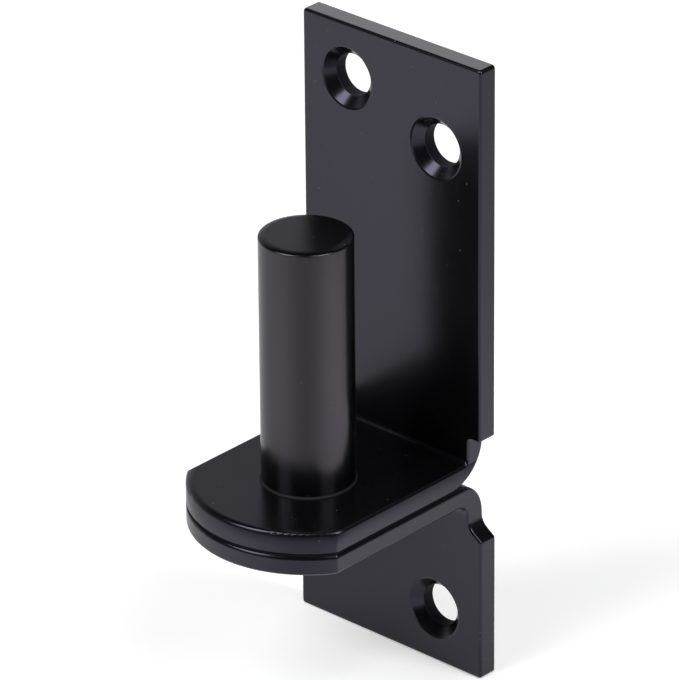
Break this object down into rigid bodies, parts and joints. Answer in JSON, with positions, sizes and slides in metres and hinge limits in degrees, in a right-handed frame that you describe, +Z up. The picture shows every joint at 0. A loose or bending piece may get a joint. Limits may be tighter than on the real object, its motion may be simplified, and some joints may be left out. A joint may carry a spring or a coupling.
{
  "type": "gate hinge pin",
  "caption": "Gate hinge pin: an upright round pin riveted through the doubled shelf of a tall and a short bent plate, which screw to a post so a strap hinge's eye drops over the pin.",
  "frame": {"origin": "on the pin's axis, at the top face of the shelf where the hinge's eye rests", "axes": "+X across the plates, +Y back to the post, +Z up along the pin"},
  "size_m": [0.0419, 0.0461, 0.115],
  "materials": {
    "plate_coat": "satin black powder coat on steel plate",
    "pin_coat": "satin black powder coat on turned steel bar"
  },
  "bodies": {
    "root": {"upper_plate": "plate_coat", "lower_plate": "plate_coat", "pin": "pin_coat"}
  },
  "joints": []
}
